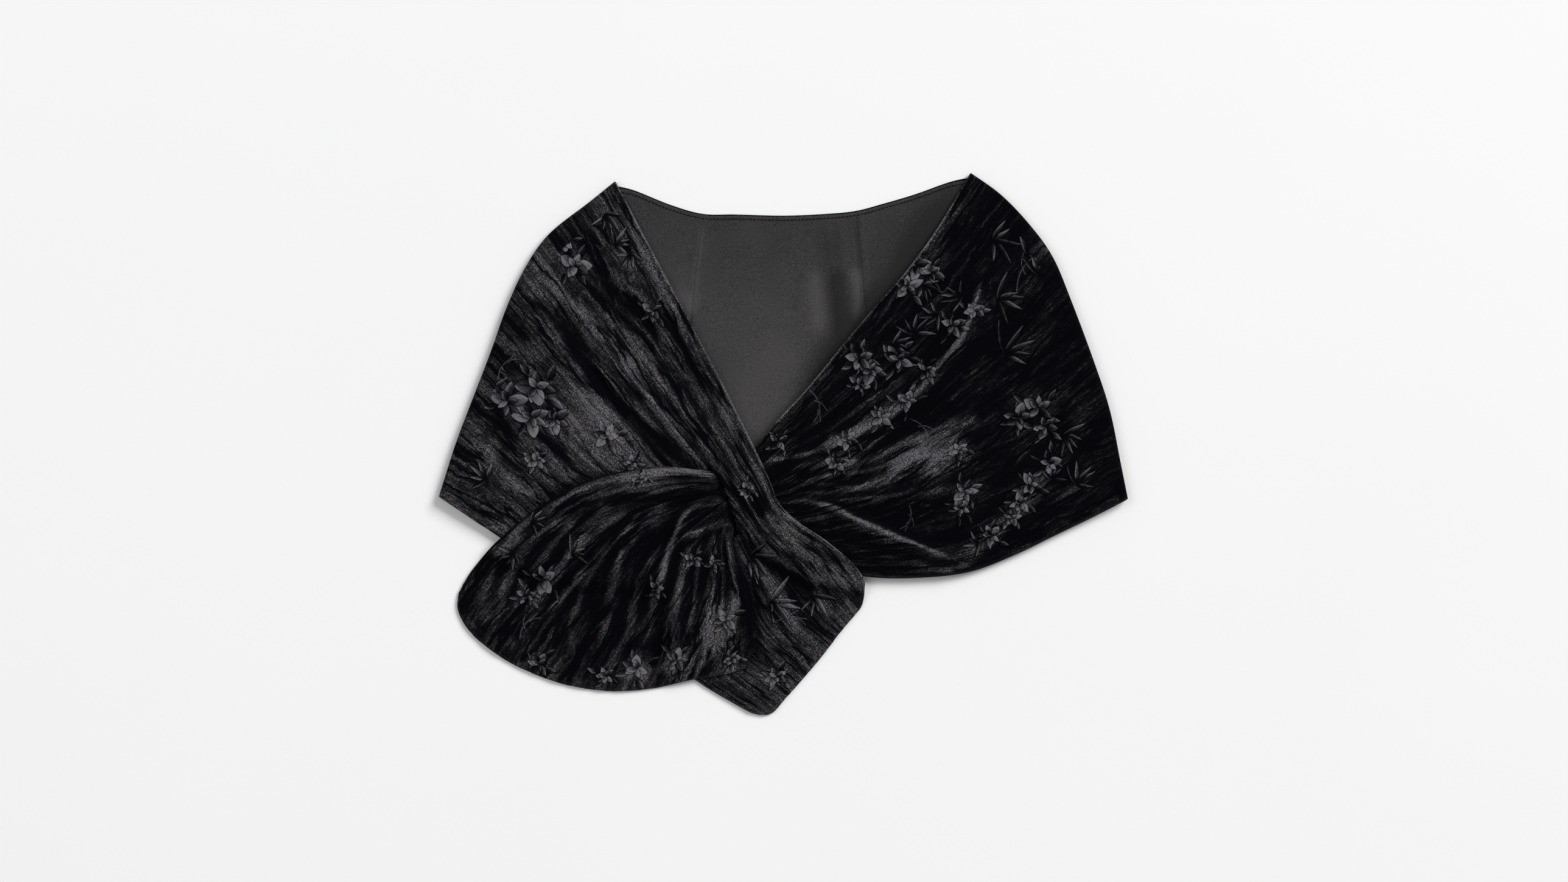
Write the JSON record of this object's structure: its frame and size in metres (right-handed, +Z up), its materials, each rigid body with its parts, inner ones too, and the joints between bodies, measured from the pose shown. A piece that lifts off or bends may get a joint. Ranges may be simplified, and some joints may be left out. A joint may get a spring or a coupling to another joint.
{
  "type": "velvet shoulder wrap",
  "caption": "Lined velvet pull-through shoulder wrap laid flat, one gathered end drawn through a slit in the other front and fanned out over it.",
  "frame": {"origin": "middle of the laid wrap's outline, on the surface that it lies on", "axes": "+X across the wrap towards the picture's right, +Y from the hem to the neck edge, +Z up from the surface"},
  "size_m": [0.58, 0.456, 0.0212],
  "materials": {
    "velvet": "near-black crushed velvet with a cool grey sheen and tone-on-tone blossom and bamboo motifs",
    "lining": "matt charcoal crepe lining"
  },
  "bodies": {
    "root": {"back_velvet": "velvet", "back_lining_left": "lining", "back_lining_centre": "lining", "back_lining_right": "lining", "right_front": "velvet", "left_front": "velvet", "pulled_end": "velvet"}
  },
  "joints": []
}
